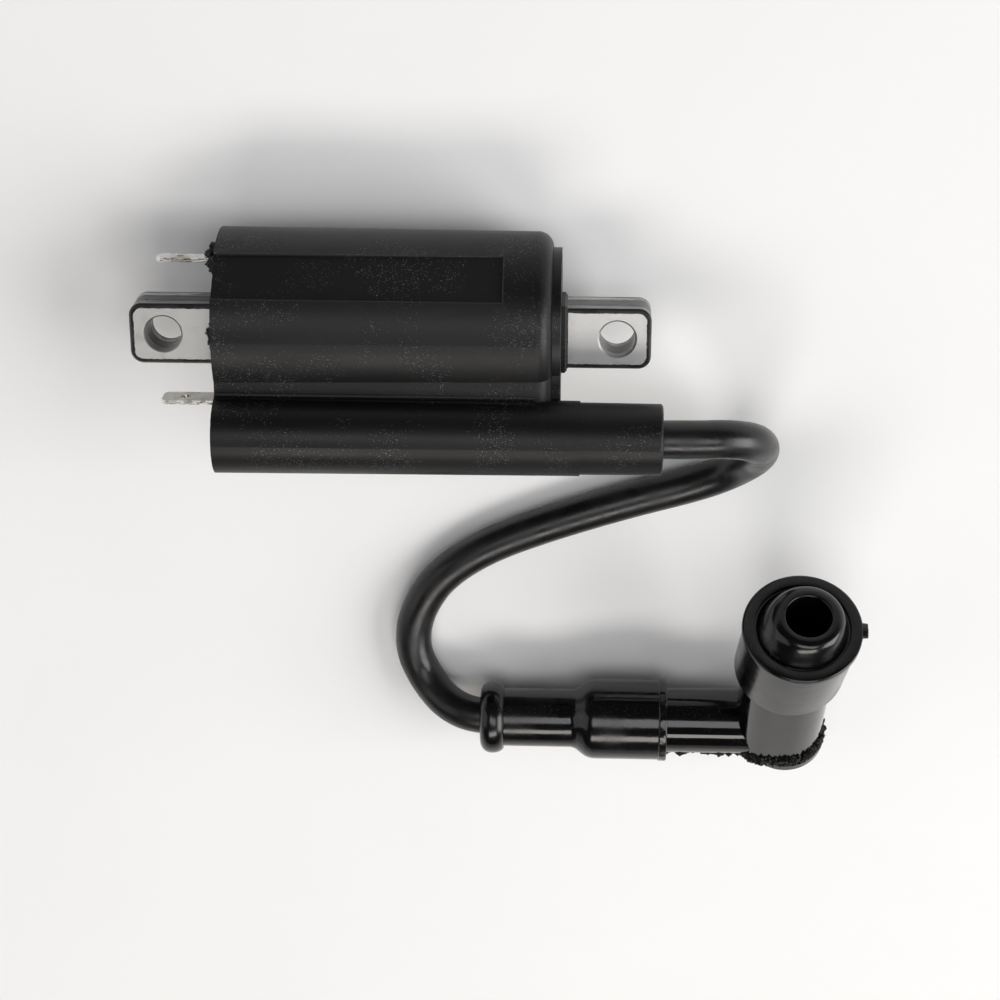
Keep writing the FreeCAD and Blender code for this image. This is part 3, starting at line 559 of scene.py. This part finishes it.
# ---------------------------------------------------------------- lead boot
# Soft black rubber sleeve that is pulled over the lead and the end of the cap, with
# a rolled bead at its mouth and a cone up to the wider body.
MM = 0.001
CAP_AXIS = Vector((0.0, -0.0808, -0.0101))
ALONG_LEAD = Vector((1, 0, 0))


def make_boot_rubber():
    rubber, tree, shader, place = start_finish("boot_rubber", roughness=0.16)
    bloom = cloud(tree, place, 150.0, 4.0)
    colour = blend_colour(tree, between(tree, bloom, 0.4, 0.75, 0.0, 1.0),
                          (0.0018, 0.0018, 0.0020, 1), (0.0038, 0.0036, 0.0036, 1))
    add_dust(tree, shader, place, colour, 0.20)
    tree.links.new(between(tree, bloom, 0.3, 0.75, 0.12, 0.26), shader.inputs["Roughness"])
    emboss(tree, shader, cloud(tree, place, 190.0, 2.0), 0.00006)
    emboss(tree, shader, cloud(tree, place, 1500.0, 2.0), 0.000008)
    return rubber


def turn_boot(name, outline, centre, axis, side, segments):
    """Closed outline of (along, radius, rounding) in millimetres, spun about an axis."""
    build = bmesh.new()
    corners = [build.verts.new(centre + axis * (along * MM) + side * (radius * MM))
               for along, radius, _ in outline]
    build.faces.new(corners)
    for corner, (_, _, rounding) in zip(corners, outline):
        if rounding:
            bmesh.ops.bevel(build, geom=[corner], offset=rounding * MM, offset_type="OFFSET", segments=5,
                            profile=0.5, affect="VERTICES", material=-1)
    ring = build.faces[:][0]
    rim_edges = ring.edges[:]
    rim_verts = ring.verts[:]
    bmesh.ops.delete(build, geom=[ring], context="FACES_ONLY")
    bmesh.ops.spin(build, geom=rim_verts + rim_edges, cent=centre, axis=axis, angle=2 * math.pi,
                   steps=segments, use_merge=True)
    bmesh.ops.remove_doubles(build, verts=build.verts, dist=1e-7)
    return show_piece(name, build, boot_rubber)


boot_rubber = make_boot_rubber()
BOOT_OUTLINE = [
    (0.0, 4.48, 0.2), (0.0, 7.05, 2.2), (4.7, 7.05, 2.2), (4.7, 5.65, 0.5),
    (18.3, 5.65, 0.8), (21.0, 7.8, 1.2), (34.7, 7.8, 0.1), (34.9, 8.0, 0.1),
    (36.3, 8.0, 0.35), (36.3, 6.32, 0.1), (20.4, 6.32, 0), (20.4, 3.58, 0), (2.4, 3.58, 0.5),
]
boot_start = CAP_AXIS + ALONG_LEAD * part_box("lead_boot")[0].x
LIP_START = 0.0347
LIP_RADIUS = 0.0077
MOUTH_END = 0.0004
MOUTH_RADIUS = 0.0055
RAG_SIZE = 0.0012
RAG_DEPTH = 0.00012
rubber_lead_boot = turn_boot("rubber_lead_boot", BOOT_OUTLINE, boot_start, ALONG_LEAD,
                             Vector((0, 0, 1)), 128)
for vert in rubber_lead_boot.data.vertices:
    place = vert.co - boot_start
    side = place - ALONG_LEAD * place.x
    on_lip = side.length > LIP_RADIUS and place.x > LIP_START
    on_mouth = side.length < MOUTH_RADIUS and place.x < MOUTH_END
    if on_lip or on_mouth:
        vert.co += side.normalized() * noise.fractal(vert.co / RAG_SIZE, 0.8, 2.0, 3) * RAG_DEPTH
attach(rubber_lead_boot, "plug_cap")
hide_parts("lead_boot")

# ---------------------------------------------------------------- cap body
# Hard phenolic elbow, moulded in two halves and polished by the mould; torn flash
# is left along the lead tube and round the foot of the plug tube.
PLUG_TILT = math.radians(38.0)
PLUG_AXIS = Vector((0, math.cos(PLUG_TILT), math.sin(PLUG_TILT)))
PLUG_FRONT = Vector((0, -math.sin(PLUG_TILT), math.cos(PLUG_TILT)))
PLUG_X = 0.0753
PLUG_CENTRE = CAP_AXIS + ALONG_LEAD * PLUG_X


def make_phenolic():
    phenolic, tree, shader, place = start_finish("phenolic", roughness=0.09)
    haze = cloud(tree, place, 130.0, 4.0)
    colour = blend_colour(tree, haze, (0.0010, 0.0010, 0.0010, 1), (0.0022, 0.0019, 0.0018, 1))
    add_dust(tree, shader, place, colour, 0.18)
    tree.links.new(between(tree, haze, 0.35, 0.75, 0.06, 0.17), shader.inputs["Roughness"])
    emboss(tree, shader, cloud(tree, place, 110.0, 2.0), 0.00005)
    return phenolic


phenolic = make_phenolic()
nodes["cap_body"].material_slots[0].material = phenolic

# ---------------------------------------------------------------- flash on the cap
# Torn phenolic flash that squeezed out where the foot cap was pressed on: a ragged
# band round the foot of the plug tube, and a thin ridge along the lead tube.
FLASH_START = math.radians(103)
TUBE_RADIUS = 0.0063
SHOULDER_CORNER = 0.0041
SHOULDER_IN = 0.00165
SHOULDER_STEPS = 32
FOOT_PROFILE = [(-3.5, 6.9), (-3.5, 7.7), (-2.5, 8.0), (-1.5, 7.55), (-1.1, 6.9)]
RIDGE_OUT = Vector((0, -0.955, 0.297))
RIDGE_ACROSS = Vector((0, 0.297, 0.955))
RIDGE_HALF = 0.0004
RIDGE_START = 0.0521
RIDGE_END = 0.0690


def make_foot_flash():
    """Band turned round the tube, along the shoulder's front and round its corner."""
    build = bmesh.new()
    away = Matrix.Rotation(FLASH_START, 4, PLUG_AXIS) @ PLUG_FRONT
    corners = [build.verts.new(PLUG_CENTRE + PLUG_AXIS * along * MM + away * radius * MM)
               for along, radius in FOOT_PROFILE]
    start = build.faces.new(corners)
    bmesh.ops.subdivide_edges(build, edges=start.edges[:], cuts=3)
    geom = build.verts[:] + build.edges[:] + build.faces[:]
    geom = bmesh.ops.spin(build, geom=geom, cent=PLUG_CENTRE, axis=PLUG_AXIS, angle=-FLASH_START,
                          steps=110, use_merge=False)["geom_last"]
    geom = bmesh.ops.spin(build, geom=geom, cent=PLUG_CENTRE, axis=PLUG_AXIS, angle=0,
                          steps=SHOULDER_STEPS, dvec=-ALONG_LEAD * SHOULDER_CORNER / SHOULDER_STEPS,
                          use_merge=False)["geom_last"]
    corner = PLUG_CENTRE - ALONG_LEAD * SHOULDER_CORNER + PLUG_FRONT * SHOULDER_IN
    bmesh.ops.spin(build, geom=geom, cent=corner, axis=PLUG_AXIS, angle=math.radians(-90),
                   steps=60, use_merge=False)
    bmesh.ops.remove_doubles(build, verts=build.verts, dist=1e-7)
    bmesh.ops.recalc_face_normals(build, faces=build.faces)
    roughen(build, 0.0008, 0.0006, 5.0)
    return show_piece("foot_flash", build, torn_phenolic)


def make_side_flash(start_x, end_x):
    """Thin ridge along the lead tube, half of it sunk in the tube's wall."""
    build = bmesh.new()
    profile = [(TUBE_RADIUS - RIDGE_HALF, -0.0003), (TUBE_RADIUS + RIDGE_HALF, -0.0001),
               (TUBE_RADIUS + RIDGE_HALF, 0.0001), (TUBE_RADIUS - RIDGE_HALF, 0.0004)]
    corners = [build.verts.new(CAP_AXIS + ALONG_LEAD * start_x + RIDGE_OUT * out + RIDGE_ACROSS * up)
               for out, up in profile]
    start = build.faces.new(corners)
    bmesh.ops.subdivide_edges(build, edges=start.edges[:], cuts=2)
    made = bmesh.ops.extrude_face_region(build, geom=build.faces[:])
    far_verts = [part for part in made["geom"] if isinstance(part, bmesh.types.BMVert)]
    bmesh.ops.translate(build, vec=ALONG_LEAD * (end_x - start_x), verts=far_verts)
    long_edges = [edge for edge in build.edges if edge.calc_length() > (end_x - start_x) / 2]
    bmesh.ops.subdivide_edges(build, edges=long_edges, cuts=90)
    bmesh.ops.recalc_face_normals(build, faces=build.faces)
    roughen(build, 0.0014, 0.0009, 2.0)
    return show_piece("side_flash", build, torn_phenolic)


def make_torn_phenolic():
    torn, tree, shader, place = start_finish("torn_phenolic", roughness=0.45)
    shader.inputs["Specular IOR Level"].default_value = 0.2
    crumb = cloud(tree, place, 900.0, 5.0)
    colour = blend_colour(tree, crumb, (0.0005, 0.0005, 0.0005, 1), (0.0032, 0.0030, 0.0028, 1))
    tree.links.new(colour, shader.inputs["Base Color"])
    tree.links.new(between(tree, crumb, 0.3, 0.7, 0.2, 0.5), shader.inputs["Roughness"])
    emboss(tree, shader, crumb, 0.0002)
    return torn


torn_phenolic = make_torn_phenolic()
foot_flash = make_foot_flash()
side_flash = make_side_flash(RIDGE_START, RIDGE_END)
for flash in (foot_flash, side_flash):
    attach(flash, "plug_cap")

# ---------------------------------------------------------------- plug boot
# Soft rubber boot pushed over the mouth of the plug tube, leaning over the squared
# shoulder; its domed collar seals on the plug, and a gate nub is left on the rim.
PLUG_BOOT_OUTLINE = [
    (24.0, 7.18, 0), (24.0, 10.25, 0.4), (37.9, 10.5, 0.15), (38.25, 10.95, 0.12),
    (39.5, 10.95, 0.4), (39.5, 8.75, 0.08), (39.0, 8.75, 0.08), (39.0, 8.3, 0.1),
    (41.6, 7.35, 0.5), (42.9, 6.75, 0.5), (43.9, 5.9, 0.8), (43.9, 4.15, 0.3),
    (37.2, 4.15, 0.2), (36.02, 4.9, 0), (36.02, 7.18, 0),
]
SKIRT_FOOT = 0.0240
RIM_FOOT = 0.0379
COLLAR_FOOT = 0.0390
COLLAR_TOP = 0.0439
TUBE_FIT = 0.0073
SKIRT_LEAN = -0.00115
COLLAR_LEAN = 0.0008
NUB_ALONG = 0.0387
NUB_OUT = 0.0109
NUB_SIZE = (0.00078, 0.0017, 0.0021)
NUB_EDGE = 0.00025


def lean_boot(mesh):
    """Shifts the skirt's foot over the shoulder, and the collar a little the other way."""
    for vert in mesh.vertices:
        place = vert.co - PLUG_CENTRE
        along = place.dot(PLUG_AXIS)
        radius = (place - PLUG_AXIS * along).length
        if along < RIM_FOOT and radius > TUBE_FIT:
            vert.co.x += SKIRT_LEAN * (RIM_FOOT - along) / (RIM_FOOT - SKIRT_FOOT)
        elif along > COLLAR_FOOT:
            vert.co.x += COLLAR_LEAN * (along - COLLAR_FOOT) / (COLLAR_TOP - COLLAR_FOOT)


def make_gate_nub():
    """Oval stub with a rounded end that stands out of the boot's rim."""
    build = bmesh.new()
    bmesh.ops.create_cone(build, cap_ends=True, segments=48, radius1=1.0, radius2=0.9, depth=1.0)
    bmesh.ops.scale(build, vec=NUB_SIZE, verts=build.verts)
    outer = [edge for edge in build.edges if all(vert.co.z > 0 for vert in edge.verts)]
    bmesh.ops.bevel(build, geom=outer, offset=NUB_EDGE, offset_type="OFFSET", segments=4, profile=0.5,
                    affect="EDGES", material=-1)
    upright = Matrix((PLUG_AXIS, PLUG_FRONT, ALONG_LEAD)).transposed()
    bmesh.ops.rotate(build, cent=(0, 0, 0), matrix=upright, verts=build.verts)
    middle = PLUG_CENTRE + PLUG_AXIS * NUB_ALONG + ALONG_LEAD * NUB_OUT
    bmesh.ops.translate(build, vec=middle, verts=build.verts)
    roughen(build, 0.0016, 0.00012, 1.0)
    return show_piece("gate_nub", build, boot_rubber)


rubber_plug_boot = turn_boot("rubber_plug_boot", PLUG_BOOT_OUTLINE, PLUG_CENTRE, PLUG_AXIS,
                             PLUG_FRONT, 144)
lean_boot(rubber_plug_boot.data)
gate_nub = make_gate_nub()
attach(rubber_plug_boot, "plug_cap")
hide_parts("plug_boot")
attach(gate_nub, "plug_cap")
